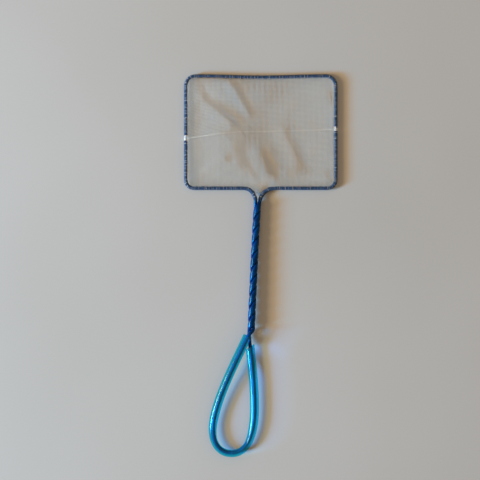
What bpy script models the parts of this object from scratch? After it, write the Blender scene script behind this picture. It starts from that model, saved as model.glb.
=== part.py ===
"""A small hand net lying flat: a wire hoop with a soft net bag, a twisted handle and a hanging loop.

One coated steel wire runs from the loop up the twist, round the hoop and back down to the loop, where
its two cut ends meet inside a soft grip tube. The bag is two netting panels joined by two seams, and a
stitched binding holds it to the hoop.

Units are metres. +Y runs from the loop to the hoop, +Z is up, and z = 0 is the surface that the net
lies on. The origin is on that surface, halfway along the net and under the middle of the hoop's width.
"""

import math

import bmesh
import bpy
import numpy as np
from mathutils import Vector

OVERALL_LENGTH = 0.3795
HOOP_WIDTH = 0.1485  # wire centre to wire centre
HOOP_LENGTH = 0.111
HOOP_TOP_SAG = 0.0012  # how far the far bar is bent in at its middle
TOP_CORNER_RADIUS = 0.0095
LOW_CORNER_RADIUS = 0.008

CORE_RADIUS = 0.0010
COATING_BORE_RADIUS = 0.0013
COATING_RADIUS = 0.00185
BINDING_BORE_RADIUS = 0.00195
BINDING_RADIUS = 0.00225
TUBE_BORE_RADIUS = 0.0029
TUBE_RADIUS = 0.0044

# Values given for both sides have the key -1 for the left side and 1 for the right.
NECK_LENGTH = 0.0145  # from the near bar to the start of the twist
NECK_SPREAD = {-1: 0.0144, 1: 0.0182}  # from the twist's axis to where each leg joins the near bar
NECK_PULL_AT_TWIST = 0.0070
NECK_RISE_SHARE = 0.6  # how much of a strand's slope up or down its neck leg keeps
NECK_PULL_AT_BAR = 0.6  # as a share of the spread
TWIST_RADIUS = 0.0019  # of each strand's centre about the twist's axis
TWIST_PITCH = 0.0249
TWIST_TURNS = 5
TWIST_TOP = Vector((-0.0032, OVERALL_LENGTH / 2 - BINDING_RADIUS - HOOP_LENGTH - NECK_LENGTH, 0.0040))
TWIST_END = Vector((-0.0094, TWIST_TOP.y - TWIST_PITCH * TWIST_TURNS, 0.0052))
TWIST_TOP_LEAN = 0.062  # sideways run per metre of length
TWIST_END_LEAN = 0.042
PARTING = {-1: 0.0006, 1: -0.0014}  # how far the wire bows up on its way into each end of the tube

LOOP_BOTTOM = Vector((-0.0288, TUBE_RADIUS - OVERALL_LENGTH / 2, TUBE_RADIUS))
LOOP_LEFT = Vector((-0.0472, LOOP_BOTTOM.y + 0.0238, TUBE_RADIUS))
LOOP_RIGHT = Vector((-0.0061, LOOP_BOTTOM.y + 0.0443, TUBE_RADIUS))
LEFT_TUBE_END = Vector((-0.0131, -0.0694, 0.0092))  # this end lies on top of the other one
RIGHT_TUBE_END = Vector((-0.0105, -0.0810, TUBE_RADIUS))
RIGHT_CUT_SLOPE = 0.6  # the right end is cut on a slant, this far along per unit across
LEFT_LEG_PULLS = (Vector((-0.0100, -0.0218, 0)), Vector((0, 0.0245, 0)))
LEFT_BEND_PULLS = (Vector((0, -0.0145, 0)), Vector((-0.0117, 0, 0)))
RIGHT_LEG_PULLS = (Vector((0.0016, -0.018, 0)), Vector((0, 0.024, 0)))
RIGHT_BEND_PULLS = (Vector((0, -0.0274, 0)), Vector((0.0145, 0, 0)))
WIRE_SHIFT = Vector((0.00055, 0.0, -0.0007))  # where the wire lies in the raised end of the tube
WIRE_SHIFT_FADE = 8  # path points over which the wire comes back to the tube's axis
CUT_GAP = 0.001  # between the wire's two cut ends

BAG_THICKNESS = 0.0010
BAG_CLEARANCE = 0.0004  # from the netting to the binding and to the seams
BAG_LOW_Z = 0.0009
BAG_RISE_LENGTH = 0.005  # over which the netting climbs to the hoop
BAG_NECK_DIP = 0.004
BAG_NECK_HALF_WIDTH = 0.009
SEAM_WIDTH = 0.0016
SEAM_ENDS = {-1: -0.0063, 1: 0.0027}  # where each seam meets the hoop, ahead of the hoop's middle
SEAM_JOIN = Vector((-0.0186, 0.0))  # where the two seams meet, from the hoop's middle
BINDING_BREAK = {-1: 0.0052, 1: 0.0042}  # gap in the binding at each seam
BINDING_NECK_START = 0.42  # share of the neck leg, from the twist, that the binding leaves bare

HOOP_Z = BINDING_RADIUS
HALF_WIDTH = HOOP_WIDTH / 2
FAR_BAR_Y = OVERALL_LENGTH / 2 - BINDING_RADIUS
NEAR_BAR_Y = FAR_BAR_Y - HOOP_LENGTH
HOOP_MIDDLE = Vector((0, (FAR_BAR_Y + NEAR_BAR_Y) / 2, 0))
UP = Vector((0, 0, 1))

STEPS_PER_TURN = 8
CORNER_STEPS = 5
NECK_STEPS = 6
SAG_STEPS = 8
WIRE_SIDES = 8
TUBE_SIDES = 12


# ---- Paths -------------------------------------------------------------------------------------


def bezier(start, start_pull, end_pull, end, steps, first=0.0):
    """Points on a cubic curve. Each pull is the vector from an end point to its handle."""
    points = []
    for t in np.linspace(first, 1, steps + 1).tolist():
        s = 1 - t
        a = start + start_pull
        b = end + end_pull
        points.append(s**3 * start + 3 * s * s * t * a + 3 * s * t * t * b + t**3 * end)
    return points


def arc(centre_x, centre_y, radius, from_degrees, to_degrees):
    """Points on a level arc at the hoop's height."""
    angles = np.radians(np.linspace(from_degrees, to_degrees, CORNER_STEPS + 1)).tolist()
    return [
        Vector((centre_x + radius * math.cos(a), centre_y + radius * math.sin(a), HOOP_Z))
        for a in angles
    ]


def joined(*runs):
    """One path from several, where each starts at the last one's end or further on."""
    path = list(runs[0])
    for run in runs[1:]:
        first = 1 if (run[0] - path[-1]).length < 1e-7 else 0
        path.extend(run[first:])
    return path


def twist_axis(t):
    """(point, direction of travel) on the twist's axis, from its top at t = 0 to its end at t = 1."""
    third = (TWIST_TOP.y - TWIST_END.y) / 3
    a = TWIST_TOP + Vector((-TWIST_TOP_LEAN * third, -third, 0))
    b = TWIST_END + Vector((TWIST_END_LEAN * third, third, 0))
    s = 1 - t
    point = s**3 * TWIST_TOP + 3 * s * s * t * a + 3 * s * t * t * b + t**3 * TWIST_END
    slope = s * s * (a - TWIST_TOP) + 2 * s * t * (b - a) + t * t * (TWIST_END - b)
    return point, slope.normalized()


def strand_point(t, top_angle):
    """A point on one strand. A right-handed twist turns backwards on the way down from the hoop."""
    point, ahead = twist_axis(t)
    side = UP.cross(ahead).normalized()
    angle = top_angle - 2 * math.pi * TWIST_TURNS * t
    return point + TWIST_RADIUS * (math.cos(angle) * UP + math.sin(angle) * side)


def strand(side):
    """The strand that starts at the top on this side (1 is right), from the top down."""
    steps = round(TWIST_TURNS * STEPS_PER_TURN)
    return [strand_point(k / steps, side * math.pi / 2) for k in range(steps + 1)]


def neck_leg(side, first=0.0):
    """From the twist's top out to the near bar."""
    top = strand_point(0, side * math.pi / 2)
    just_below = strand_point(0.002, side * math.pi / 2)
    bar = Vector((TWIST_TOP.x + side * NECK_SPREAD[side], NEAR_BAR_Y, HOOP_Z))
    leave = (top - just_below).normalized() * NECK_PULL_AT_TWIST
    leave.z *= NECK_RISE_SHARE
    arrive = Vector((-side * NECK_PULL_AT_BAR * NECK_SPREAD[side], 0, 0))
    return bezier(top, leave, arrive, bar, NECK_STEPS, first)


def low_leg(side, first=0.0):
    """From the twist's top, along the near bar and round its corner."""
    x = side * (HALF_WIDTH - LOW_CORNER_RADIUS)
    y = NEAR_BAR_Y + LOW_CORNER_RADIUS
    corner = arc(x, y, LOW_CORNER_RADIUS, -90, -90 + side * 90)
    return joined(neck_leg(side, first), corner)


def top_arch():
    """Round both far corners, from right to left."""
    x = HALF_WIDTH - TOP_CORNER_RADIUS
    y = FAR_BAR_Y - TOP_CORNER_RADIUS
    bar = []
    for share in np.linspace(-1, 1, SAG_STEPS + 1)[1:-1].tolist():
        sag = HOOP_TOP_SAG * (1 + math.cos(math.pi * share)) / 2
        bar.append(Vector((-share * x, FAR_BAR_Y - sag, HOOP_Z)))
    return joined(arc(x, y, TOP_CORNER_RADIUS, 0, 90), bar, arc(-x, y, TOP_CORNER_RADIUS, 90, 180))


def left_tube_run():
    """The tube's axis from its raised left end to the bottom of the loop."""
    leg = bezier(LEFT_TUBE_END, *LEFT_LEG_PULLS, LOOP_LEFT, 9)
    bend = bezier(LOOP_LEFT, *LEFT_BEND_PULLS, LOOP_BOTTOM, 6)
    return joined(leg, bend)


def right_tube_run():
    """The tube's axis from its right end to the bottom of the loop."""
    leg = bezier(RIGHT_TUBE_END, *RIGHT_LEG_PULLS, LOOP_RIGHT, 5)
    bend = bezier(LOOP_RIGHT, *RIGHT_BEND_PULLS, LOOP_BOTTOM, 8)
    return joined(leg, bend)


def wire_in_tube(run, shift):
    """The wire's own path in the tube. It starts off the tube's axis and ends short of the other cut end."""
    path = []
    for k, point in enumerate(run):
        fade = max(0.0, 1 - k / WIRE_SHIFT_FADE)
        path.append(point + shift * fade)
    back = (path[-2] - path[-1]).normalized()
    path[-1] = path[-1] + back * CUT_GAP / 2
    return path


def lead_in(strand_path, tube_path, lift):
    """From the end of a strand into the tube, bowed up by the lift to clear the other strand."""
    leave = (strand_path[-1] - strand_path[-2]).normalized()
    arrive = (tube_path[0] - tube_path[1]).normalized()
    pull = (tube_path[0] - strand_path[-1]).length / 3
    return bezier(strand_path[-1], leave * pull + lift * UP, arrive * pull + lift * UP, tube_path[0], 4)


def wire_path():
    """The whole wire, from the cut end in the left half of the loop to the one in the right half."""
    left_end = wire_in_tube(left_tube_run(), WIRE_SHIFT)
    right_end = wire_in_tube(right_tube_run(), Vector())
    from_right = strand(1)
    from_left = strand(-1)
    to_hoop = joined(from_right, lead_in(from_right, left_end, PARTING[-1]), left_end)[::-1]
    to_loop = joined(from_left, lead_in(from_left, right_end, PARTING[1]), right_end)
    return joined(to_hoop, low_leg(1), top_arch(), low_leg(-1)[::-1], to_loop)


def side_point(side, ahead_of_middle):
    """A point on the hoop's left or right side."""
    return Vector((side * HALF_WIDTH, HOOP_MIDDLE.y + ahead_of_middle, HOOP_Z))


def upper_binding_path():
    right = side_point(1, SEAM_ENDS[1] + BINDING_BREAK[1] / 2)
    left = side_point(-1, SEAM_ENDS[-1] + BINDING_BREAK[-1] / 2)
    return joined([right], top_arch(), [left])


def lower_binding_path(side):
    end = side_point(side, SEAM_ENDS[side] - BINDING_BREAK[side] / 2)
    return joined(low_leg(side, BINDING_NECK_START), [end])


# ---- Solids ------------------------------------------------------------------------------------


def add_object(name, bm, material, location=(0, 0, 0)):
    bmesh.ops.recalc_face_normals(bm, faces=bm.faces)
    mesh = bpy.data.meshes.new(name)
    bm.to_mesh(mesh)
    bm.free()
    mesh.shade_smooth()
    mesh.set_sharp_from_angle(angle=math.radians(50))
    mesh.materials.append(material)
    obj = bpy.data.objects.new(name, mesh)
    obj.location = location
    obj.parent = bpy.data.objects["hand_net"]
    bpy.context.scene.collection.objects.link(obj)
    return obj


def add_rings(bm, path, radius, sides):
    """A ring of vertices round each point of a path, with one flat side facing down."""
    rings = []
    for k, point in enumerate(path):
        ahead = (path[min(k + 1, len(path) - 1)] - path[max(k - 1, 0)]).normalized()
        across = ahead.cross(UP).normalized()
        over = across.cross(ahead)
        ring = []
        for n in range(sides):
            angle = 2 * math.pi * (n + 0.5) / sides
            ring.append(bm.verts.new(point + radius * (math.sin(angle) * across + math.cos(angle) * over)))
        rings.append(ring)
    return rings


def bridge(bm, ring_a, ring_b):
    for n, corner in enumerate(ring_a):
        after = (n + 1) % len(ring_a)
        bm.faces.new((corner, ring_a[after], ring_b[after], ring_b[n]))


def rod(name, path, radius, material):
    """A solid round bar along a path."""
    bm = bmesh.new()
    rings = add_rings(bm, path, radius, WIRE_SIDES)
    for ring_a, ring_b in zip(rings, rings[1:]):
        bridge(bm, ring_a, ring_b)
    bm.faces.new(rings[0])
    bm.faces.new(rings[-1])
    return add_object(name, bm, material)


def slant(ring, centre, ahead, slope):
    """Moves a ring's vertices along the path, further the more they lie to the path's right."""
    across = ahead.cross(UP).normalized()
    for vertex in ring:
        vertex.co += ahead * (vertex.co - centre).dot(across) * slope


def sleeve(name, path, radius, bore_radius, sides, material, last_cut_slope=0.0):
    """A tube along a path, open at both ends. Both radii are to the flats."""
    bm = bmesh.new()
    to_corner = 1 / math.cos(math.pi / sides)
    outer = add_rings(bm, path, radius * to_corner, sides)
    inner = add_rings(bm, path, bore_radius * to_corner, sides)
    for wall in (outer, inner):
        slant(wall[-1], path[-1], (path[-1] - path[-2]).normalized(), last_cut_slope)
        for ring_a, ring_b in zip(wall, wall[1:]):
            bridge(bm, ring_a, ring_b)
    bridge(bm, outer[0], inner[0])
    bridge(bm, outer[-1], inner[-1])
    return add_object(name, bm, material)


# ---- The bag, in the hoop's own frame: x across, y from the hoop's middle -----------------------


BAG_HALF_WIDTH = HALF_WIDTH - BINDING_RADIUS - BAG_CLEARANCE
BAG_HALF_LENGTH = HOOP_LENGTH / 2 - BINDING_RADIUS - BAG_CLEARANCE


def corner_cut(x, radius):
    """How far the bag's edge is drawn in by a rounded corner at this x."""
    past = abs(x) - (BAG_HALF_WIDTH - radius)
    if past <= 0:
        return 0.0
    return radius - math.sqrt(max(radius**2 - past**2, 0))


def far_edge(x):
    inner_radius = TOP_CORNER_RADIUS - BINDING_RADIUS - BAG_CLEARANCE
    return BAG_HALF_LENGTH - HOOP_TOP_SAG - corner_cut(x, inner_radius)


def near_edge(x):
    inner_radius = LOW_CORNER_RADIUS - BINDING_RADIUS - BAG_CLEARANCE
    from_neck = min(abs(x - TWIST_TOP.x) / BAG_NECK_HALF_WIDTH, 1)
    dip = BAG_NECK_DIP * (1 + math.cos(math.pi * from_neck)) / 2
    return -BAG_HALF_LENGTH - dip + corner_cut(x, inner_radius)


def seam_line(x):
    """The y of the seams, straight from each side of the hoop to the point where they meet."""
    side = 1 if x > SEAM_JOIN.x else -1
    share = (x - SEAM_JOIN.x) / (side * HALF_WIDTH - SEAM_JOIN.x)
    return SEAM_JOIN.y + share * (SEAM_ENDS[side] - SEAM_JOIN.y)


def bag_columns():
    """The x of each column of a panel, closer together at the corners, the neck and the seams' join."""
    inner_radius = TOP_CORNER_RADIUS - BINDING_RADIUS - BAG_CLEARANCE
    corner = [BAG_HALF_WIDTH - inner_radius * (1 - math.cos(math.radians(a))) for a in (0, 30, 50, 70, 90)]
    neck = [TWIST_TOP.x + BAG_NECK_HALF_WIDTH * k / 3 for k in range(-3, 4)]
    left = np.linspace(corner[-1], -neck[0], 4).tolist()[1:-1]
    right = np.linspace(neck[-1], corner[-1], 5).tolist()[1:-1]
    middle = [SEAM_JOIN.x] + neck
    return sorted([-x for x in corner + left] + middle + right + corner)


def net_height(x, edge_distance):
    """Height of the middle of the netting, which climbs to the hoop near its edges."""
    distance = min(edge_distance, BAG_HALF_WIDTH - abs(x))
    share = min(distance / BAG_RISE_LENGTH, 1)
    ease = (1 + math.cos(math.pi * share)) / 2
    return BAG_LOW_Z + (HOOP_Z - BAG_LOW_Z) * ease


def net_panel(name, side, edge_line, material):
    """One half of the bag, from the seams to the hoop's far edge (side 1) or near edge (side -1)."""
    seam_offset = side * (SEAM_WIDTH / 2 + BAG_CLEARANCE)
    columns = bag_columns()
    distances = [0, BAG_RISE_LENGTH / 2, BAG_RISE_LENGTH]
    bm = bmesh.new()
    layers = []
    for face_side in (1, -1):
        grid = []
        for x in columns:
            edge = edge_line(x)
            inner = seam_line(x) + seam_offset
            ys = [edge - side * d for d in distances] + [(edge - side * BAG_RISE_LENGTH + inner) / 2, inner]
            column = []
            for y in ys:
                z = net_height(x, abs(edge - y)) + face_side * BAG_THICKNESS / 2
                column.append(bm.verts.new((x, y, z)))
            grid.append(column)
        layers.append(grid)
    close_layers(bm, *layers)
    return add_object(name, bm, material, HOOP_MIDDLE)


def close_layers(bm, upper, lower):
    """Faces over both grids of vertices, and a wall round their common outline."""
    columns = len(upper)
    rows = len(upper[0])
    for grid in (upper, lower):
        for i in range(columns - 1):
            for j in range(rows - 1):
                bm.faces.new((grid[i][j], grid[i + 1][j], grid[i + 1][j + 1], grid[i][j + 1]))
    outline = [(i, 0) for i in range(columns)]
    outline += [(columns - 1, j) for j in range(1, rows)]
    outline += [(i, rows - 1) for i in range(columns - 2, -1, -1)]
    outline += [(0, j) for j in range(rows - 2, 0, -1)]
    for (i, j), (m, n) in zip(outline, outline[1:] + outline[:1]):
        bm.faces.new((upper[i][j], upper[m][n], lower[m][n], lower[i][j]))


def side_seam(name, side, material):
    """A flat strip along one side's seam, from near the hoop to the point where the seams meet."""
    bm = bmesh.new()
    layers = []
    outer_x = side * BAG_HALF_WIDTH
    inner_x = SEAM_JOIN.x + side * BAG_CLEARANCE / 2
    near_hoop = [outer_x - side * BAG_RISE_LENGTH * k / 3 for k in range(4)]
    for face_side in (1, -1):
        grid = []
        for x in near_hoop + [(near_hoop[-1] + inner_x) / 2, inner_x]:
            z = net_height(x, BAG_RISE_LENGTH) + face_side * BAG_THICKNESS / 2
            y = seam_line(x)
            grid.append([bm.verts.new((x, y + half, z)) for half in (-SEAM_WIDTH / 2, SEAM_WIDTH / 2)])
        layers.append(grid)
    close_layers(bm, *layers)
    return add_object(name, bm, material, HOOP_MIDDLE)


# ---- Materials and assembly --------------------------------------------------------------------


def plain_material(name, colour, roughness, metallic=0.0):
    material = bpy.data.materials.new(name)
    material.use_nodes = True
    shader = material.node_tree.nodes["Principled BSDF"]
    shader.inputs["Base Color"].default_value = (*colour, 1)
    shader.inputs["Roughness"].default_value = roughness
    shader.inputs["Metallic"].default_value = metallic
    return material


def clear_scene():
    for obj in list(bpy.data.objects):
        bpy.data.objects.remove(obj, do_unlink=True)


def build():
    clear_scene()
    root = bpy.data.objects.new("hand_net", None)
    bpy.context.scene.collection.objects.link(root)

    path = wire_path()
    steel = plain_material("steel", (0.55, 0.56, 0.58), 0.35, 1.0)
    rod("steel_core", path, CORE_RADIUS, steel)
    blue_pvc = plain_material("blue_pvc", (0.003, 0.07, 0.36), 0.2)
    coating_to_flats = COATING_RADIUS * math.cos(math.pi / WIRE_SIDES)
    sleeve("wire_coating", path, coating_to_flats, COATING_BORE_RADIUS, WIRE_SIDES, blue_pvc)

    cyan_pvc = plain_material("cyan_pvc", (0.0, 0.27, 0.47), 0.12)
    tube_path = joined(left_tube_run(), right_tube_run()[::-1])
    sleeve("grip_tube", tube_path, TUBE_RADIUS, TUBE_BORE_RADIUS, TUBE_SIDES, cyan_pvc, RIGHT_CUT_SLOPE)

    netting = plain_material("white_netting", (0.75, 0.75, 0.74), 0.7)
    net_panel("net_panel_upper", 1, far_edge, netting)
    net_panel("net_panel_lower", -1, near_edge, netting)
    white_thread = plain_material("white_thread", (0.82, 0.82, 0.81), 0.65)
    side_seam("side_seam_left", -1, white_thread)
    side_seam("side_seam_right", 1, white_thread)

    blue_thread = plain_material("blue_thread", (0.03, 0.09, 0.22), 0.8)
    for name, binding_path in (
        ("binding_upper", upper_binding_path()),
        ("binding_lower_left", lower_binding_path(-1)),
        ("binding_lower_right", lower_binding_path(1)),
    ):
        sleeve(name, binding_path, BINDING_RADIUS, BINDING_BORE_RADIUS, WIRE_SIDES, blue_thread)


build()
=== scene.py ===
import math

import bpy
import numpy as np
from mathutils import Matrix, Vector


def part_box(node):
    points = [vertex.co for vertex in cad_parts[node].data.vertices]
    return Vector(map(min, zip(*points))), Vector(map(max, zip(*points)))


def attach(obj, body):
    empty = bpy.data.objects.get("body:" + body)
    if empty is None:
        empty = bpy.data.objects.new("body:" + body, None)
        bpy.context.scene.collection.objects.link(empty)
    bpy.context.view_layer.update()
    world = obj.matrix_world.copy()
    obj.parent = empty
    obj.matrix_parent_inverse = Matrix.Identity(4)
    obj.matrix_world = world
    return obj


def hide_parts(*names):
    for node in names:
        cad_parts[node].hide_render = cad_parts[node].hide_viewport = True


# A small hand net lying on a pale table, seen from straight above. Units are metres, in the CAD's own frame:
# +Y runs from the hanging loop to the hoop, +Z is up, and z = 0 is the table.

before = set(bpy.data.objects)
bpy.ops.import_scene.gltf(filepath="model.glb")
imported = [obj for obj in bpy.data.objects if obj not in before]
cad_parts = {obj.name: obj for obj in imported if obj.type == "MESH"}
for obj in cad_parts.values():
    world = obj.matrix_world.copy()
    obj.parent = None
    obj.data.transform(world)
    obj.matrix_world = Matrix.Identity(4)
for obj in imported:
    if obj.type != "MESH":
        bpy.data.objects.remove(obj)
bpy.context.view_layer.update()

# ---- Sizes -------------------------------------------------------------------------------------

MM = 0.001
COATING_RADIUS = 1.85 * MM
BOUND_COATING_RADIUS = 1.5 * MM  # where the hem is bound tightly round it
COATING_BORE_RADIUS = 1.3 * MM
HEM_RADIUS = 1.4 * MM  # from the wire's axis to where the netting leaves the hem
BINDING_RADIUS = 2.25 * MM
TUBE_RADIUS = 4.4 * MM
TUBE_BORE_RADIUS = 2.9 * MM
HOOP_LENGTH = 111 * MM  # from bar to bar, on the wire's axis
HOOP_TOP_SAG = 1.2 * MM
TOP_CORNER_RADIUS = 9.5 * MM
LOW_CORNER_RADIUS = 8.0 * MM

# Values given for both sides have the key -1 for the left side and 1 for the right.
NECK_LENGTH = 14.5 * MM
NECK_SPREAD = {-1: 14.4 * MM, 1: 18.2 * MM}
NECK_PULL_AT_TWIST = 7.0 * MM
NECK_PULL_AT_BAR = 0.6
NECK_RISE_SHARE = 0.6  # how much of a strand's slope up or down its neck leg starts with
TWIST_RADIUS = 1.9 * MM
TWIST_PITCH = 24.9 * MM
TWIST_TURNS = 5
TWIST_TOP_LEAN = 0.062  # sideways run per metre of length
TWIST_END_LEAN = 0.042
STRAND_WIDENING = 0.6  # how much wider a strand is than its thickness where the twist presses it
WIDENING_FADE = 0.03  # share of the twist's length over which that comes in at each end
BOUND_FADE = 4 * MM  # length over which the coating thins where the hem begins
PARTING = {-1: 0.6 * MM, 1: -1.4 * MM}  # how far the wire bows up on its way into each end of the tube
WIRE_SHIFT = np.array([0.55, 0.0, -0.7]) * MM  # where the wire lies in the raised end of the tube
WIRE_SHIFT_FADE = 32  # path points over which the wire comes back to the tube's axis
CUT_GAP = 0.3 * MM  # between the wire's two cut ends
SEAM_ENDS = {-1: -6.3 * MM, 1: 2.7 * MM}  # where each seam meets the hoop, ahead of the hoop's middle
BINDING_BREAK = {-1: 5.2 * MM, 1: 4.2 * MM}  # gap in the binding at each seam

HOOP_LOW, HOOP_HIGH = (np.array(corner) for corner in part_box("binding_upper"))
LOOP_LOW, LOOP_HIGH = (np.array(corner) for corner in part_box("grip_tube"))
HOOP_Z = (HOOP_LOW[2] + HOOP_HIGH[2]) / 2
HALF_WIDTH = HOOP_HIGH[0] - BINDING_RADIUS
FAR_BAR_Y = HOOP_HIGH[1] - BINDING_RADIUS
NEAR_BAR_Y = FAR_BAR_Y - HOOP_LENGTH
HOOP_MIDDLE_Y = (FAR_BAR_Y + NEAR_BAR_Y) / 2
TWIST_TOP = np.array([-3.2 * MM, NEAR_BAR_Y - NECK_LENGTH, 4.0 * MM])
TWIST_END = np.array([-9.4 * MM, TWIST_TOP[1] - TWIST_PITCH * TWIST_TURNS, 5.2 * MM])
UP = np.array([0.0, 0.0, 1.0])

LOOP_BOTTOM = np.array([LOOP_LOW[0] + 22.8 * MM, LOOP_LOW[1] + TUBE_RADIUS, TUBE_RADIUS])
LOOP_LEFT = np.array([LOOP_LOW[0] + TUBE_RADIUS, LOOP_BOTTOM[1] + 23.8 * MM, TUBE_RADIUS])
LOOP_RIGHT = np.array([LOOP_HIGH[0] - TUBE_RADIUS, LOOP_BOTTOM[1] + 44.3 * MM, TUBE_RADIUS])
LEFT_TUBE_END = np.array([-13.1, -69.4, 9.2]) * MM  # this end lies on top of the other one
RIGHT_TUBE_END = np.array([-10.5, -81.0, 4.4]) * MM
RIGHT_CUT_SLOPE = 0.6  # the right end is cut on a slant, this far along per unit across


def mm(x, y, z=0.0):
    return np.array([x, y, z]) * MM


# ---- Paths -------------------------------------------------------------------------------------


def unit(vectors):
    return vectors / np.linalg.norm(vectors, axis=-1, keepdims=True)


def bezier(start, start_pull, end_pull, end, steps, first=0.0):
    """Points on a cubic curve. Each pull is the vector from an end point to its handle."""
    t = np.linspace(first, 1, steps + 1)[:, None]
    s = 1 - t
    return s**3 * start + 3 * s * s * t * (start + start_pull) + 3 * s * t * t * (end + end_pull) + t**3 * end


def joined(*runs):
    """One path from several, where each starts at the last one's end or further on."""
    path = runs[0]
    for run in runs[1:]:
        first = 1 if np.linalg.norm(run[0] - path[-1]) < 1e-7 else 0
        path = np.concatenate([path, run[first:]])
    return path


def hump(height, share):
    """A smooth rise: this high where the share is 0, and nothing where it is -1 or 1."""
    return height * (1 + np.cos(math.pi * share)) / 2


def arc(x, y, radius, from_degrees, to_degrees, steps=16):
    """A level arc at the hoop's height."""
    angle = np.radians(np.linspace(from_degrees, to_degrees, steps + 1))
    return np.stack([x + radius * np.cos(angle), y + radius * np.sin(angle), 0 * angle + HOOP_Z], axis=1)


def twist_axis(t):
    """(points, directions of travel) on the twist's axis, from its top at t = 0 to its end at t = 1."""
    t = np.asarray(t, float)[:, None]
    s = 1 - t
    third = (TWIST_TOP[1] - TWIST_END[1]) / 3
    a = TWIST_TOP + np.array([-TWIST_TOP_LEAN, -1, 0]) * third
    b = TWIST_END + np.array([TWIST_END_LEAN, 1, 0]) * third
    axis = s**3 * TWIST_TOP + 3 * s * s * t * a + 3 * s * t * t * b + t**3 * TWIST_END
    return axis, unit(s * s * (a - TWIST_TOP) + 2 * s * t * (b - a) + t * t * (TWIST_END - b))


def strand_points(t, top_angle):
    """Points on one strand of the twist."""
    axis, ahead = twist_axis(t)
    side = unit(np.cross(UP, ahead))
    angle = top_angle - 2 * math.pi * TWIST_TURNS * np.asarray(t, float)[:, None]
    return axis + TWIST_RADIUS * (np.cos(angle) * UP + np.sin(angle) * side)


def strand(side):
    """The strand that starts at the top on this side, from the top down."""
    steps = round(TWIST_TURNS * 24)
    return strand_points(np.linspace(0, 1, steps + 1), side * math.pi / 2)


def neck_leg(side, first=0.0):
    """From the twist's top out to the near bar."""
    top, just_below = strand_points([0, 0.002], side * math.pi / 2)
    bar = np.array([TWIST_TOP[0] + side * NECK_SPREAD[side], NEAR_BAR_Y, HOOP_Z])
    leave = unit(top - just_below) * NECK_PULL_AT_TWIST * np.array([1, 1, NECK_RISE_SHARE])
    arrive = np.array([-side * NECK_PULL_AT_BAR * NECK_SPREAD[side], 0, 0])
    return bezier(top, leave, arrive, bar, 20, first)


def low_leg(side, first=0.0):
    """From the twist's top, along the near bar and round its corner."""
    x = side * (HALF_WIDTH - LOW_CORNER_RADIUS)
    corner = arc(x, NEAR_BAR_Y + LOW_CORNER_RADIUS, LOW_CORNER_RADIUS, -90, -90 + side * 90)
    return joined(neck_leg(side, first), corner)


def top_arch():
    """Round both far corners, from right to left."""
    x = HALF_WIDTH - TOP_CORNER_RADIUS
    y = FAR_BAR_Y - TOP_CORNER_RADIUS
    share = np.linspace(-1, 1, 33)[1:-1]
    bar = np.stack([-share * x, FAR_BAR_Y - hump(HOOP_TOP_SAG, share), 0 * share + HOOP_Z], axis=1)
    return joined(arc(x, y, TOP_CORNER_RADIUS, 0, 90), bar, arc(-x, y, TOP_CORNER_RADIUS, 90, 180))


def left_tube_run():
    leg = bezier(LEFT_TUBE_END, mm(-10, -21.8), mm(0, 24.5), LOOP_LEFT, 36)
    bend = bezier(LOOP_LEFT, mm(0, -14.5), mm(-11.7, 0), LOOP_BOTTOM, 24)
    return joined(leg, bend)


def right_tube_run():
    leg = bezier(RIGHT_TUBE_END, mm(1.6, -18), mm(0, 24), LOOP_RIGHT, 20)
    bend = bezier(LOOP_RIGHT, mm(0, -27.4), mm(14.5, 0), LOOP_BOTTOM, 32)
    return joined(leg, bend)


def wire_in_tube(run, shift):
    """The wire's own path in the tube. It starts off the tube's axis and ends short of the other cut end."""
    fade = np.clip(1 - np.arange(len(run)) / WIRE_SHIFT_FADE, 0, 1)[:, None]
    path = run + shift * fade
    path[-1] += unit(path[-2] - path[-1]) * CUT_GAP / 2
    return path


def lead_in(strand_path, tube_path, lift):
    """From the end of a strand into the tube, bowed up by the lift to clear the other strand."""
    leave = unit(strand_path[-1] - strand_path[-2])
    arrive = unit(tube_path[0] - tube_path[1])
    pull = np.linalg.norm(tube_path[0] - strand_path[-1]) / 3
    return bezier(strand_path[-1], leave * pull + lift * UP, arrive * pull + lift * UP, tube_path[0], 12)


def wire_path():
    """The whole wire, from the cut end in the left half of the loop to the one in the right half."""
    left_end = wire_in_tube(left_tube_run(), WIRE_SHIFT)
    right_end = wire_in_tube(right_tube_run(), 0 * WIRE_SHIFT)
    from_right = strand(1)
    from_left = strand(-1)
    to_hoop = joined(from_right, lead_in(from_right, left_end, PARTING[-1]), left_end)[::-1]
    to_loop = joined(from_left, lead_in(from_left, right_end, PARTING[1]), right_end)
    return joined(to_hoop, low_leg(1), top_arch(), low_leg(-1)[::-1], to_loop)


def side_point(side, ahead_of_middle):
    return np.array([[side * HALF_WIDTH, HOOP_MIDDLE_Y + ahead_of_middle, HOOP_Z]])


def resampled(path, spacing):
    """The path again, with points at even distances of about this spacing."""
    lengths = np.concatenate([[0], np.cumsum(np.linalg.norm(np.diff(path, axis=0), axis=1))])
    count = max(2, round(lengths[-1] / spacing) + 1)
    at = np.linspace(0, lengths[-1], count)
    return np.stack([np.interp(at, lengths, path[:, k]) for k in range(3)], axis=1)


# ---- Meshes ------------------------------------------------------------------------------------


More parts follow.
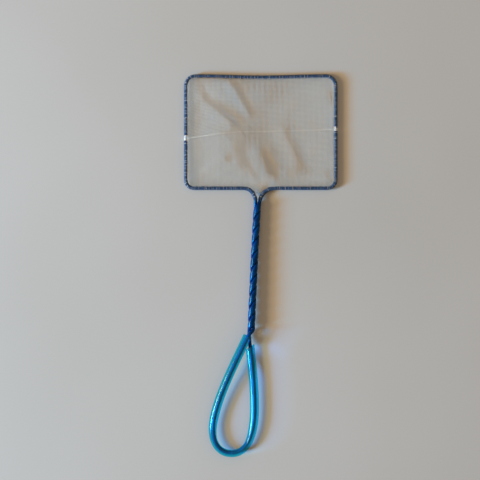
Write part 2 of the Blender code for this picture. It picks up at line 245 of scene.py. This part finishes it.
class Shell:
    """Gathers vertices and faces of many sweeps into one mesh."""

    def __init__(self):
        self.points = []
        self.quads = []
        self.count = 0

    def grid(self, rings):
        """Rings of vertices, all the same size, joined one to the next, with the end rings capped."""
        n, sides = rings.shape[:2]
        index = self.count + np.arange(n * sides).reshape(n, sides)
        a = index[:-1]
        b = index[1:]
        quads = np.stack([a, np.roll(a, -1, 1), np.roll(b, -1, 1), b], axis=-1).reshape(-1, 4)
        self.points.append(rings.reshape(-1, 3))
        self.quads.extend(quads.tolist())
        self.quads.append(index[0][::-1].tolist())
        self.quads.append(index[-1].tolist())
        self.count += n * sides

    def loop(self, rings):
        """Rings joined one to the next, and the last to the first."""
        n, sides = rings.shape[:2]
        index = self.count + np.arange(n * sides).reshape(n, sides)
        after = np.roll(index, -1, 0)
        quads = np.stack([index, np.roll(index, -1, 1), np.roll(after, -1, 1), after], axis=-1)
        self.points.append(rings.reshape(-1, 3))
        self.quads.extend(quads.reshape(-1, 4).tolist())
        self.count += n * sides

    def bundle(self, lines, normals, radius, sides=3):
        """Many threads at once. Each line is a path, and all have the same number of points."""
        ahead = unit(np.gradient(lines, axis=1))
        across = unit(np.cross(ahead, normals))
        over = np.cross(across, ahead)
        angle = (2 * math.pi * np.arange(sides) / sides)[:, None]
        outward = np.cos(angle) * over[:, :, None] + np.sin(angle) * across[:, :, None]
        rings = lines[:, :, None] + radius * outward
        n, m = lines.shape[:2]
        index = self.count + np.arange(n * m * sides).reshape(n, m, sides)
        a = index[:, :-1]
        b = index[:, 1:]
        quads = np.stack([a, b, np.roll(b, -1, 2), np.roll(a, -1, 2)], axis=-1)
        self.points.append(rings.reshape(-1, 3))
        self.quads.extend(quads.reshape(-1, 4).tolist())
        for ends in (index[:, 0], index[:, -1, ::-1]):
            self.quads.extend(ends.tolist())
        self.count += n * m * sides

    def build(self, name, material, sharp=40):
        mesh = bpy.data.meshes.new(name)
        mesh.from_pydata(np.concatenate(self.points).tolist(), [], self.quads)
        mesh.validate()
        mesh.shade_smooth()
        mesh.set_sharp_from_angle(angle=math.radians(sharp))
        mesh.materials.append(material)
        obj = bpy.data.objects.new(name, mesh)
        bpy.context.scene.collection.objects.link(obj)
        return obj


def directions(path):
    """The direction of travel at each point of a path."""
    return unit(np.gradient(path, axis=0))


def rings_round(path, radius, sides, up=UP, flat=1.0):
    """Rings round a path. The radius may vary along it, and flat squeezes it along the up direction."""
    ahead = directions(path)
    across = unit(np.cross(ahead, np.broadcast_to(up, path.shape)))
    over = np.cross(across, ahead)
    angle = 2 * math.pi * (np.arange(sides) + 0.5) / sides
    radius = np.broadcast_to(radius, len(path))[:, None, None]
    sideways = np.sin(angle)[None, :, None] * across[:, None]
    upwards = flat * np.cos(angle)[None, :, None] * over[:, None]
    return path[:, None] + radius * (sideways + upwards)


# ---- Materials ---------------------------------------------------------------------------------


class Nodes:
    """A short way to wire up one material's nodes."""

    def __init__(self, name):
        self.material = bpy.data.materials.new(name)
        self.material.use_nodes = True
        self.tree = self.material.node_tree
        self.shader = self.tree.nodes["Principled BSDF"]
        coordinates = self.tree.nodes.new("ShaderNodeTexCoord")
        self.position = coordinates.outputs["Object"]

    def set(self, **values):
        for name, value in values.items():
            self.shader.inputs[name.replace("_", " ")].default_value = value

    def add(self, kind, **values):
        node = self.tree.nodes.new(kind)
        for name, value in values.items():
            node.inputs[name].default_value = value
        return node

    def mixed(self, share, one, other):
        node = self.tree.nodes.new("ShaderNodeMixShader")
        if isinstance(share, float):
            node.inputs["Fac"].default_value = share
        else:
            self.tree.links.new(share, node.inputs["Fac"])
        self.tree.links.new(one.outputs[0], node.inputs[1])
        self.tree.links.new(other.outputs[0], node.inputs[2])
        return node

    def link(self, source, name):
        self.tree.links.new(source, self.shader.inputs[name])

    def noise(self, scale, detail=3.0):
        node = self.tree.nodes.new("ShaderNodeTexNoise")
        node.inputs["Scale"].default_value = scale
        node.inputs["Detail"].default_value = detail
        self.tree.links.new(self.position, node.inputs["Vector"])
        return node.outputs["Fac"]

    def ramp(self, source, *stops):
        node = self.tree.nodes.new("ShaderNodeValToRGB")
        elements = node.color_ramp.elements
        while len(elements) < len(stops):
            elements.new(0.5)
        for element, (position, colour) in zip(elements, stops):
            element.position = position
            element.color = (*colour, 1)
        self.tree.links.new(source, node.inputs["Fac"])
        return node.outputs["Color"]

    def remap(self, source, low, high):
        node = self.tree.nodes.new("ShaderNodeMapRange")
        node.inputs["To Min"].default_value = low
        node.inputs["To Max"].default_value = high
        self.tree.links.new(source, node.inputs["Value"])
        return node.outputs["Result"]

    def bump(self, source, distance, strength=1.0):
        node = self.tree.nodes.new("ShaderNodeBump")
        node.inputs["Strength"].default_value = strength
        node.inputs["Distance"].default_value = distance
        self.tree.links.new(source, node.inputs["Height"])
        self.link(node.outputs["Normal"], "Normal")


def steel():
    nodes = Nodes("galvanised_steel")
    grain = nodes.noise(900)
    nodes.link(nodes.ramp(grain, (0.3, (0.36, 0.37, 0.38)), (0.7, (0.62, 0.63, 0.65))), "Base Color")
    nodes.link(nodes.remap(grain, 0.25, 0.5), "Roughness")
    nodes.set(Metallic=1.0)
    return nodes.material


def blue_pvc():
    """Glossy deep blue coating, a little uneven in tone, with faint drag marks."""
    nodes = Nodes("blue_pvc")
    tone = nodes.noise(120)
    nodes.link(nodes.ramp(tone, (0.35, (0.0, 0.016, 0.11)), (0.65, (0.0, 0.042, 0.22))), "Base Color")
    nodes.link(nodes.remap(nodes.noise(700), 0.20, 0.34), "Roughness")
    nodes.set(IOR=1.5, Specular_IOR_Level=0.5, Specular_Tint=(0.10, 0.70, 1.0, 1))
    nodes.bump(nodes.noise(450), 0.00006)
    return nodes.material


def cyan_pvc(name, shine, see_through, body_share):
    """Clear tinted tube: gloss over a partly see-through body. Daylight passes through, a little gathered."""
    nodes = Nodes(name)
    tone = nodes.noise(60)
    nodes.link(nodes.ramp(tone, (0.3, (0.0, 0.38, 0.54)), (0.7, (0.0, 0.46, 0.62))), "Base Color")
    nodes.link(nodes.remap(nodes.noise(500), 0.12, 0.22), "Roughness")
    nodes.set(IOR=1.45, Specular_IOR_Level=0.4 * shine, Specular_Tint=(0.18, 0.95, 1.0, 1))
    nodes.bump(nodes.noise(220), 0.00008)
    clear = nodes.add("ShaderNodeBsdfTransparent", Color=(*see_through, 1))
    body = nodes.mixed(body_share, clear, nodes.shader)
    film = tuple(shine * part for part in (0.015, 0.04, 0.042))
    gloss = nodes.add("ShaderNodeBsdfAnisotropic", Color=(*film, 1), Roughness=0.16)
    coat = nodes.add("ShaderNodeAddShader")
    nodes.tree.links.new(body.outputs[0], coat.inputs[0])
    nodes.tree.links.new(gloss.outputs[0], coat.inputs[1])
    daylight = nodes.add("ShaderNodeBsdfTransparent", Color=(1.0, 1.11, 1.18, 1))
    shaded = nodes.tree.nodes.new("ShaderNodeLightPath").outputs["Is Shadow Ray"]
    whole = nodes.mixed(shaded, coat, daylight)
    nodes.tree.links.new(whole.outputs[0], nodes.tree.nodes["Material Output"].inputs["Surface"])
    return nodes.material


def thread(name, dark, light, roughness=0.75, sheen=0.3):
    """Spun thread with uneven tone and a fine fibre bump."""
    nodes = Nodes(name)
    tone = nodes.noise(1100, 4)
    nodes.link(nodes.ramp(tone, (0.36, dark), (0.64, light)), "Base Color")
    nodes.link(nodes.remap(tone, roughness - 0.08, roughness + 0.1), "Roughness")
    nodes.set(Sheen_Weight=sheen, Sheen_Roughness=0.4)
    nodes.bump(nodes.noise(5000, 2), 0.00012)
    return nodes.material


# ---- The wire and the tube ---------------------------------------------------------------------


WIRE_SIDES = 20
TUBE_SIDES = 36
TUBE_RING_SPACING = 2.2 * MM
OVAL_FROM_BEND = 12  # the curvature, per metre, from which the tube goes oval
OVAL_BEND_RANGE = 30  # and how much more makes it fully oval
OVAL_OUTSIDE = 0.44  # share of its radius that the wall's outside loses there, towards the bend's inner side
OVAL_BORE = 0.38  # the same for the bore
BEND_SMOOTHING = 13  # in rings


def twist_squash(path):
    """(direction, factor) at each point of the wire, by which the twist presses the strands wider."""
    t = (TWIST_TOP[1] - path[:, 1]) / (TWIST_TOP[1] - TWIST_END[1])
    inside = np.clip(t, 0, 1)
    axis, ahead = twist_axis(inside)
    radial = path - axis
    radial -= (radial * ahead).sum(axis=1, keepdims=True) * ahead
    sideways = unit(np.cross(directions(path), radial))
    fade = np.clip(np.minimum(t, 1 - t) / WIDENING_FADE, 0, 1)
    return sideways, 1 + STRAND_WIDENING * fade


def wire_coating(material):
    path = wire_path()
    shell = Shell()
    bound = np.clip((path[:, 1] - TWIST_TOP[1]) / BOUND_FADE, 0, 1)
    radius = COATING_RADIUS + bound * (BOUND_COATING_RADIUS - COATING_RADIUS)
    outer = rings_round(path, radius, WIRE_SIDES)
    sideways, factor = twist_squash(path)
    offset = outer - path[:, None]
    along = (offset * sideways[:, None]).sum(axis=2, keepdims=True)
    outer = outer + (factor[:, None, None] - 1) * along * sideways[:, None]
    inner = rings_round(path, COATING_BORE_RADIUS, WIRE_SIDES)
    shell.loop(np.concatenate([outer, inner[::-1]]))
    return shell.build("coated_wire", material)


def squeezed(rings, path, radius, inner_side, outer_side):
    """Rings pressed flatter across the path: each half to its own share of the radius."""
    across = unit(np.cross(directions(path), UP))[:, None]
    offset = rings - path[:, None]
    along = (offset * across).sum(axis=2, keepdims=True)
    middle = (outer_side - inner_side)[:, None, None] / 2 * radius
    half = (outer_side + inner_side)[:, None, None] / 2
    return path[:, None] + offset + (middle + (half - 1) * along) * across


def grip_tube(material, painted_shade_material):
    """The soft tube, which goes oval where the loop bends tightly: its inner side draws out.

    Its bore and its underside take a duller, darker copy of its material: painted shade that damps an inner
    reflection and darkens the tube's middle.
    """
    path = resampled(joined(left_tube_run(), right_tube_run()[::-1]), TUBE_RING_SPACING)
    bend = np.linalg.norm(np.gradient(directions(path), axis=0), axis=1) / TUBE_RING_SPACING
    window = np.ones(BEND_SMOOTHING) / BEND_SMOOTHING
    bend = np.convolve(np.pad(bend, BEND_SMOOTHING // 2, mode="edge"), window, mode="valid")
    tight = np.clip((bend - OVAL_FROM_BEND) / OVAL_BEND_RANGE, 0, 1)
    full = np.ones(len(path))
    walls = []
    for radius, loss in ((TUBE_RADIUS, OVAL_OUTSIDE), (TUBE_BORE_RADIUS, OVAL_BORE)):
        rings = rings_round(path, radius, TUBE_SIDES)
        walls.append(squeezed(rings, path, radius, 1 - loss * tight, full))
    ahead = directions(path)[-1]
    across = unit(np.cross(ahead, UP))
    for wall in walls:
        wall[-1] += ((wall[-1] - path[-1]) @ across)[:, None] * RIGHT_CUT_SLOPE * ahead
    shell = Shell()
    shell.loop(np.concatenate([walls[0], walls[1][::-1]]))
    tube = shell.build("clear_grip_tube", material)
    # The bore and underside faces take the painted-shade copy of the material: less gloss and a darker
    # see-through tint.
    tube.data.materials.append(painted_shade_material)
    ring, corner = np.divmod(np.arange(len(tube.data.polygons)), TUBE_SIDES)
    bore = (ring >= len(path)) & (ring < ring[-1])
    underside = (ring < len(path)) & (np.abs(corner + 1 - TUBE_SIDES / 2) < TUBE_SIDES / 4)
    tube.data.polygons.foreach_set("material_index", (bore | underside).astype(np.int32))
    return tube


# ---- The binding -------------------------------------------------------------------------------

WRAP_PITCH = 1.45 * MM
WRAP_RADIUS = 1.86 * MM
WRAP_HALF_WIDTH = 0.69 * MM
WRAP_FLATNESS = 0.25
BINDING_NECK_START = 0.12  # share of the neck leg, from the twist, that the binding leaves bare
STEPS_PER_WRAP = 18
THREAD_SIDES = 8
# A wound thread's unevenness.
TURN_WANDER = 0.12  # how far it runs ahead of an even pitch or behind it, in turns
TILT_WANDER = 0.28  # how far each turn leans, as a share of the pitch
LIFT_WANDER = 0.05 * MM
WIDTH_WANDER = 0.12  # as a share of its width


def binding_runs():
    """The hoop's stretches under binding, by name: each a path from end to end."""
    upper_right = side_point(1, SEAM_ENDS[1] + BINDING_BREAK[1] / 2)
    upper_left = side_point(-1, SEAM_ENDS[-1] + BINDING_BREAK[-1] / 2)
    runs = {"binding_upper": joined(upper_right, top_arch(), upper_left)}
    for side, name in ((-1, "binding_lower_left"), (1, "binding_lower_right")):
        end = side_point(side, SEAM_ENDS[side] - BINDING_BREAK[side] / 2)
        runs[name] = joined(low_leg(side, BINDING_NECK_START), end)
    return runs


def wander(at, seed, scale):
    """A smooth random line between about -1 and 1. A larger scale makes it change more slowly."""
    rng = np.random.default_rng(seed)
    total = 0 * at
    for k in range(4):
        total = total + np.sin(at / scale * (1.7 ** k) + rng.uniform(0, 6.28)) / 4
    return total


def wraps(shell, path, pitch, radius, half_width, flatness, seed, amount=1.0):
    """One thread wound round a path. The amount scales how uneven its pitch and tilt are."""
    fine = resampled(path, pitch / STEPS_PER_WRAP)
    at = np.arange(len(fine)) / STEPS_PER_WRAP  # in turns
    ahead = directions(fine)
    side = unit(np.cross(ahead, UP))
    over = np.cross(side, ahead)
    angle = 2 * math.pi * (at + TURN_WANDER * amount * wander(at, seed, 2.3))
    tilt = pitch * (TILT_WANDER * amount * wander(at, seed + 1, 1.9)[:, None])
    radial = np.cos(angle)[:, None] * over + np.sin(angle)[:, None] * side
    lift = LIFT_WANDER * wander(at, seed + 2, 0.9)[:, None]
    coil = fine + (radius + lift) * radial + tilt * np.cos(angle)[:, None] * ahead
    width = half_width * (1 + WIDTH_WANDER * wander(at, seed + 3, 0.7))
    shell.grid(rings_round(coil, width, THREAD_SIDES, up=radial, flat=flatness))


def binding(name, path, material, seed):
    """One thread wound closely round the hem."""
    shell = Shell()
    wraps(shell, path, WRAP_PITCH, WRAP_RADIUS, WRAP_HALF_WIDTH, WRAP_FLATNESS, seed)
    return shell.build(name, material)


# ---- The netting bag ---------------------------------------------------------------------------

BAG_HALF_WIDTH = HALF_WIDTH - HEM_RADIUS
BAG_HALF_LENGTH = HOOP_LENGTH / 2 - HEM_RADIUS
SEAM_JOIN = mm(-18.6, 0)[:2]  # from the hoop's middle, where the two side seams meet at the bag's bottom
NECK_DIP = 6.0 * MM
NECK_DIP_HALF_WIDTH = 12 * MM
NET_CELL = 1.2 * MM
NET_THREAD_RADIUS = 0.15 * MM
WEAVE_LIFT = NET_THREAD_RADIUS * 0.8  # how far a thread goes over or under the sheet at each crossing
PANEL_LENGTH = {"upper": 52 * MM, "lower": 57 * MM}  # of netting, from the seams to the far or near bar
CLOTH_SCALE = 20.0  # the cloth solver is happier with a bag about three metres wide
CLOTH_COLUMNS = 60
CLOTH_ROWS = 22  # in each panel
CLOTH_FRAMES = 60
# Folds of spare cloth: two ends from the hoop's middle, a height and a half width, all in millimetres.
FOLDS = (
    ((-34, 52), (-14, 18), 1.7, 4.5),
    ((-64, 47), (-60, 34), 1.8, 5.5),
    ((-60, 30), (-32, 9), 2.4, 5.0),
    ((-66, -50), (-38, -28), 2.4, 5.5),
    ((-46, -4), (-42, -22), 0.8, 8.0),
    ((-2, -24), (10, -52), 2.0, 7.0),
    ((16, 20), (64, 36), 1.3, 7.0),
    ((26, -42), (62, -47), 1.6, 7.0),
    ((20, 0), (34, -30), 1.7, 7.5),
)
RIM_Z = HOOP_Z + 1.3 * MM  # the netting leaves the hem above the wire
FOLD_FADE = 10 * MM  # how far in from the hoop the folds die out
CREST = 6.5 * MM  # how far above the rim the netting stands at its fullest, on the left
HOLLOW = -2.2 * MM  # and where it lies lowest, on the right
CREST_SHARE = 0.26  # how far across each is, from the left bar
CREST_LEAN = -0.13  # how much further across the crest is at the far bar than at the middle
HOLLOW_SHARE = 0.78
SHOULDER = 7 * MM  # how soon the netting is full behind the near and far bars


def corner_cut(x, radius):
    """How far the bag's edge is drawn in by a rounded corner at this x."""
    past = np.clip(np.abs(x) - (BAG_HALF_WIDTH - radius), 0, radius)
    return radius - np.sqrt(radius**2 - past**2)


def far_edge(x):
    share = np.clip(x / (HALF_WIDTH - TOP_CORNER_RADIUS), -1, 1)
    return BAG_HALF_LENGTH - hump(HOOP_TOP_SAG, share) - corner_cut(x, TOP_CORNER_RADIUS - HEM_RADIUS)


def near_edge(x):
    from_neck = np.clip(np.abs(x - TWIST_TOP[0]) / NECK_DIP_HALF_WIDTH, 0, 1)
    return -BAG_HALF_LENGTH - hump(NECK_DIP, from_neck) + corner_cut(x, LOW_CORNER_RADIUS - HEM_RADIUS)


def seam_line(x):
    """The y of the seams, straight from each side of the hoop to the point where they meet."""
    side = np.where(x > SEAM_JOIN[0], 1, -1)
    end = np.where(side > 0, SEAM_ENDS[1], SEAM_ENDS[-1])
    share = (x - SEAM_JOIN[0]) / (side * BAG_HALF_WIDTH - SEAM_JOIN[0])
    return SEAM_JOIN[1] + share * (end - SEAM_JOIN[1])


def flat_bag():
    """The bag spread flat in the hoop, in columns of points from the near edge to the far edge."""
    across, ahead = np.meshgrid(
        np.linspace(-1, 1, CLOTH_COLUMNS + 1), np.linspace(-1, 1, 2 * CLOTH_ROWS + 1), indexing="ij"
    )
    x = across * BAG_HALF_WIDTH
    edge = np.where(ahead < 0, near_edge(x), far_edge(x))
    y = seam_line(x) + (edge - seam_line(x)) * np.abs(ahead)
    return x, y


def fold_height(x, y, start, end, height, half_width):
    """How high one fold stands at each point: a smooth ridge along the line between its two ends."""
    start = np.array(start) * MM
    run = np.array(end) * MM - start
    share = np.clip(((x - start[0]) * run[0] + (y - start[1]) * run[1]) / (run @ run), 0, 1)
    away = np.hypot(x - start[0] - share * run[0], y - start[1] - share * run[1])
    return height * MM * np.exp(-((away / (half_width * MM)) ** 2))


def swell(x, y):
    """How far the netting stands above the rim."""
    share = (x / BAG_HALF_WIDTH + 1) / 2
    crest_share = CREST_SHARE + CREST_LEAN * y / BAG_HALF_LENGTH
    rise = 1 - (1 - np.clip(share / crest_share, 0, 1)) ** 2
    t = np.clip((share - crest_share) / (HOLLOW_SHARE - crest_share), 0, 1)
    fall = t / 2 + t * t * (3 - 2 * t) / 2
    back = np.clip((share - HOLLOW_SHARE) / (1 - HOLLOW_SHARE), 0, 1)
    return CREST * rise + (HOLLOW - CREST) * fall - HOLLOW * back**2


def full_bag():
    """The bag with its spare cloth: it swells up on the left, with folds that fade out at the hoop."""
    x, y = flat_bag()
    to_bar = np.maximum(np.minimum(far_edge(x) - y, y - near_edge(x)), 0)
    to_hoop = np.minimum(BAG_HALF_WIDTH - np.abs(x), to_bar)
    spare = sum(fold_height(x, y, *fold) for fold in FOLDS)
    fade = np.clip(to_hoop / FOLD_FADE, 0, 1)
    z = RIM_Z + spare * fade + swell(x, y) * (1 - np.exp(-to_bar / SHOULDER))
    return np.stack([x, y + HOOP_MIDDLE_Y, z], axis=-1)


def cloth_settings(modifier):
    cloth = modifier.settings
    cloth.quality = 6
    cloth.mass = 0.12
    cloth.tension_stiffness = 12
    cloth.compression_stiffness = 6
    cloth.shear_stiffness = 2
    cloth.bending_stiffness = 8
    cloth.effector_weights.gravity = 0.03
    cloth.tension_damping = 6
    cloth.compression_damping = 6
    cloth.shear_damping = 6
    cloth.bending_damping = 0.6
    cloth.air_damping = 3
    cloth.vertex_group_mass = "pin"
    touch = modifier.collision_settings
    touch.collision_quality = 3
    touch.distance_min = 0.012
    touch.use_self_collision = True
    touch.self_distance_min = 0.014
    touch.self_friction = 6
    modifier.point_cache.frame_start = 1
    modifier.point_cache.frame_end = CLOTH_FRAMES


def settled_bag():
    """Lets the full bag fall onto the table by cloth simulation, held at the hoop all round."""
    start = full_bag()
    n, m = start.shape[:2]
    ids = np.arange(n * m).reshape(n, m)
    faces = np.stack([ids[:-1, :-1], ids[1:, :-1], ids[1:, 1:], ids[:-1, 1:]], axis=-1).reshape(-1, 4)
    mesh = bpy.data.meshes.new("cloth_bag")
    mesh.from_pydata((start * CLOTH_SCALE).reshape(-1, 3).tolist(), [], faces.tolist())
    bag = bpy.data.objects.new("cloth_bag", mesh)
    bpy.context.scene.collection.objects.link(bag)
    rim = np.unique(np.concatenate([ids[0], ids[-1], ids[:, 0], ids[:, -1]]))
    bag.vertex_groups.new(name="pin").add(rim.tolist(), 1.0, "REPLACE")

    bpy.ops.mesh.primitive_plane_add(size=12, location=(0, 0, 0))
    table = bpy.context.object
    table.modifiers.new("collision", "COLLISION")
    table.collision.thickness_outer = 0.012
    table.collision.thickness_inner = 0.1
    table.collision.cloth_friction = 8
    table.collision.damping = 0.6

    cloth_settings(bag.modifiers.new("cloth", "CLOTH"))
    scene = bpy.context.scene
    for number in range(1, CLOTH_FRAMES + 1):
        scene.frame_set(number)
    settled = bag.evaluated_get(bpy.context.evaluated_depsgraph_get()).to_mesh()
    points = np.empty(n * m * 3, np.float32)
    settled.vertices.foreach_get("co", points)
    bpy.data.objects.remove(bag, do_unlink=True)
    bpy.data.objects.remove(table, do_unlink=True)
    scene.frame_set(1)
    return points.reshape(n, m, 3).astype(float) / CLOTH_SCALE


def along_rows(grid, at):
    """Smooth points at fractional places along a grid's first direction, by Catmull-Rom."""
    k = np.clip(np.floor(at).astype(int), 0, len(grid) - 2)
    t = (at - k).reshape(-1, *[1] * (grid.ndim - 1))
    before = grid[np.maximum(k - 1, 0)]
    after = grid[np.minimum(k + 2, len(grid) - 1)]
    a = grid[k]
    b = grid[k + 1]
    cubic = 3 * (a - b) + after - before
    square = 2 * before - 5 * a + 4 * b - after
    return a + t / 2 * (b - before + t * (square + t * cubic))


def resampled_sheet(sheet, columns, rows):
    """The sheet again with this many columns and rows of points."""
    wide = along_rows(sheet, np.linspace(0, sheet.shape[0] - 1, columns))
    return along_rows(wide.swapaxes(0, 1), np.linspace(0, sheet.shape[1] - 1, rows)).swapaxes(0, 1)


def sheet_normals(sheet):
    return unit(np.cross(np.gradient(sheet, axis=0), np.gradient(sheet, axis=1)))


def netting(name, sheet, length, material):
    """One panel as woven threads: each crosses over its neighbours in turn."""
    columns = round(2 * BAG_HALF_WIDTH / NET_CELL) + 1
    rows = round(length / NET_CELL) + 1
    points = resampled_sheet(sheet, columns, rows)
    normals = sheet_normals(points)
    over_under = (-1.0) ** np.add.outer(np.arange(columns), np.arange(rows))
    lift = (WEAVE_LIFT * over_under)[..., None] * normals
    shell = Shell()
    shell.bundle(points + lift, normals, NET_THREAD_RADIUS)
    shell.bundle((points - lift).swapaxes(0, 1), normals.swapaxes(0, 1), NET_THREAD_RADIUS)
    return shell.build(name, material, sharp=180)


SEAM_PITCH = 1.7 * MM
SEAM_COIL_RADIUS = 0.27 * MM
SEAM_THREAD_RADIUS = 0.13 * MM
SEAM_THREAD_FLATNESS = 0.9
SEAM_CORE_RADIUS = SEAM_COIL_RADIUS * 0.7
SEAM_CORE_FLATNESS = 0.7
SEAM_CORE_SPACING = 0.8 * MM
SEAM_LIFT = 0.1 * MM  # above the middle of the netting
SEAM_UNEVENNESS = 0.6


def seam(name, path, seed, material):
    """An overlocked edge: the joined edges rolled together under a thread that winds round them."""
    shell = Shell()
    core = resampled(path, SEAM_CORE_SPACING) + SEAM_LIFT * UP
    shell.grid(rings_round(core, SEAM_CORE_RADIUS, THREAD_SIDES, flat=SEAM_CORE_FLATNESS))
    coil = (SEAM_PITCH, SEAM_COIL_RADIUS, SEAM_THREAD_RADIUS, SEAM_THREAD_FLATNESS)
    wraps(shell, core, *coil, seed, SEAM_UNEVENNESS)
    return shell.build(name, material)


HEM_PITCH = 0.95 * MM
HEM_WRAP_RADIUS = 1.64 * MM
HEM_HALF_WIDTH = 0.42 * MM
HEM_FLATNESS = 0.3
HEM_UNEVENNESS = 0.8
HEM_NECK_START = 0.2  # share of the neck leg, from the twist, that the hem leaves bare


def hem(material):
    """The netting's edge rolled round the wire, seen between the binding's stitches and at its two breaks."""
    shell = Shell()
    ends = [low_leg(side, HEM_NECK_START) for side in (-1, 1)]
    loop = joined(ends[0], top_arch()[::-1], ends[1][::-1])
    wraps(shell, loop, HEM_PITCH, HEM_WRAP_RADIUS, HEM_HALF_WIDTH, HEM_FLATNESS, 40, HEM_UNEVENNESS)
    return shell.build("rolled_net_hem", material)


# ---- Stage -------------------------------------------------------------------------------------

VIEW_CENTRE = mm(-20.6, 25)
VIEW_WIDTH = 477.7 * MM
CAMERA_HEIGHT = 0.80
SENSOR_WIDTH = 36  # in millimetres, as the camera has it
FLOOR_DROP = 0.4 * MM  # keeps the floor just clear of the pieces that lie on it


def floor():
    nodes = Nodes("pale_table")
    tone = nodes.noise(3.5, 2)
    nodes.link(nodes.ramp(tone, (0.3, (0.58, 0.575, 0.56)), (0.7, (0.62, 0.62, 0.615))), "Base Color")
    nodes.set(Roughness=1.0, Specular_IOR_Level=0.05)
    bpy.ops.mesh.primitive_plane_add(size=6, location=(0, 0, -FLOOR_DROP))
    plane = bpy.context.object
    plane.name = "table"
    plane.data.materials.append(nodes.material)


def area_light(name, distance, azimuth, elevation, size, watts, colour):
    """A round lamp that faces the net from this far, at these angles in degrees from +X and the table."""
    turn = math.radians(azimuth)
    rise = math.radians(elevation)
    away = np.array([math.cos(rise) * math.cos(turn), math.cos(rise) * math.sin(turn), math.sin(rise)])
    light = bpy.data.lights.new(name, "AREA")
    light.shape = "DISK"
    light.size = size
    light.energy = watts
    light.color = colour
    obj = bpy.data.objects.new(name, light)
    obj.location = VIEW_CENTRE + distance * away
    obj.rotation_euler = Vector(away).to_track_quat("Z", "Y").to_euler()
    bpy.context.scene.collection.objects.link(obj)


def studio():
    """Cool daylight from low on the left, warmer light from a little higher, and a warm dim room."""
    area_light("sky", 2.5, 193, 17, 0.55, 92.0, (0.15, 0.58, 1.0))
    area_light("sunlit_wall", 2.5, 184, 28, 0.75, 44.0, (1.0, 0.70, 0.40))
    world = bpy.data.worlds.new("studio")
    bpy.context.scene.world = world
    world.use_nodes = True
    background = world.node_tree.nodes["Background"]
    background.inputs["Color"].default_value = (1.0, 0.75, 0.50, 1)
    background.inputs["Strength"].default_value = 0.36


def camera():
    data = bpy.data.cameras.new("camera")
    data.sensor_width = SENSOR_WIDTH
    data.lens = SENSOR_WIDTH * CAMERA_HEIGHT / VIEW_WIDTH
    obj = bpy.data.objects.new("camera", data)
    obj.location = VIEW_CENTRE + CAMERA_HEIGHT * UP
    bpy.context.scene.collection.objects.link(obj)
    bpy.context.scene.camera = obj
    bpy.context.scene.view_settings.view_transform = "Standard"


# ---- Assembly ----------------------------------------------------------------------------------


def place(piece, slot, *replaced):
    """Puts a finished piece into the frame, where it stands for these CAD nodes."""
    if replaced:
        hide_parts(*replaced)
    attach(piece, "root")


def main():
    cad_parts["steel_core"].data.materials.clear()
    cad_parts["steel_core"].data.materials.append(steel())
    place(wire_coating(blue_pvc()), "blue_pvc", "wire_coating")
    outside = cyan_pvc("cyan_pvc", 1.0, (0.10, 0.82, 0.96), 0.11)
    # Painted shade: a duller copy with a darker see-through tint, for the tube's bore and underside.
    painted_shade_pvc = cyan_pvc("cyan_pvc_painted_shade", 0.1, (0.18, 0.78, 0.87), 0.05)
    place(grip_tube(outside, painted_shade_pvc), "cyan_pvc", "grip_tube")

    white_net = thread("white_netting", (0.86, 0.83, 0.77), (0.96, 0.94, 0.89), roughness=0.5)
    sheet = settled_bag()
    halves = {"upper": sheet[:, CLOTH_ROWS:], "lower": sheet[:, :CLOTH_ROWS + 1]}
    for name, half in halves.items():
        panel = netting("netting_" + name, half, PANEL_LENGTH[name], white_net)
        place(panel, "white_netting", "net_panel_" + name)

    white_thread = thread("white_thread", (0.70, 0.70, 0.69), (0.88, 0.88, 0.87))
    seam_row = sheet[:, CLOTH_ROWS]
    join = int(np.argmin(np.abs(seam_row[:, 0] - SEAM_JOIN[0])))
    paths = {"left": seam_row[:join + 1], "right": seam_row[join:]}
    for number, (name, path) in enumerate(paths.items()):
        stitched = seam("sewn_seam_" + name, path, 60 + 5 * number, white_net)
        place(stitched, "white_netting", "side_seam_" + name)
    place(hem(white_thread), "white_thread")

    blue_thread = thread("blue_thread", (0.004, 0.018, 0.065), (0.025, 0.095, 0.225))
    for number, (name, path) in enumerate(binding_runs().items()):
        place(binding("stitched_" + name, path, blue_thread, 10 * number), "blue_thread", name)

    floor()
    studio()
    camera()


main()
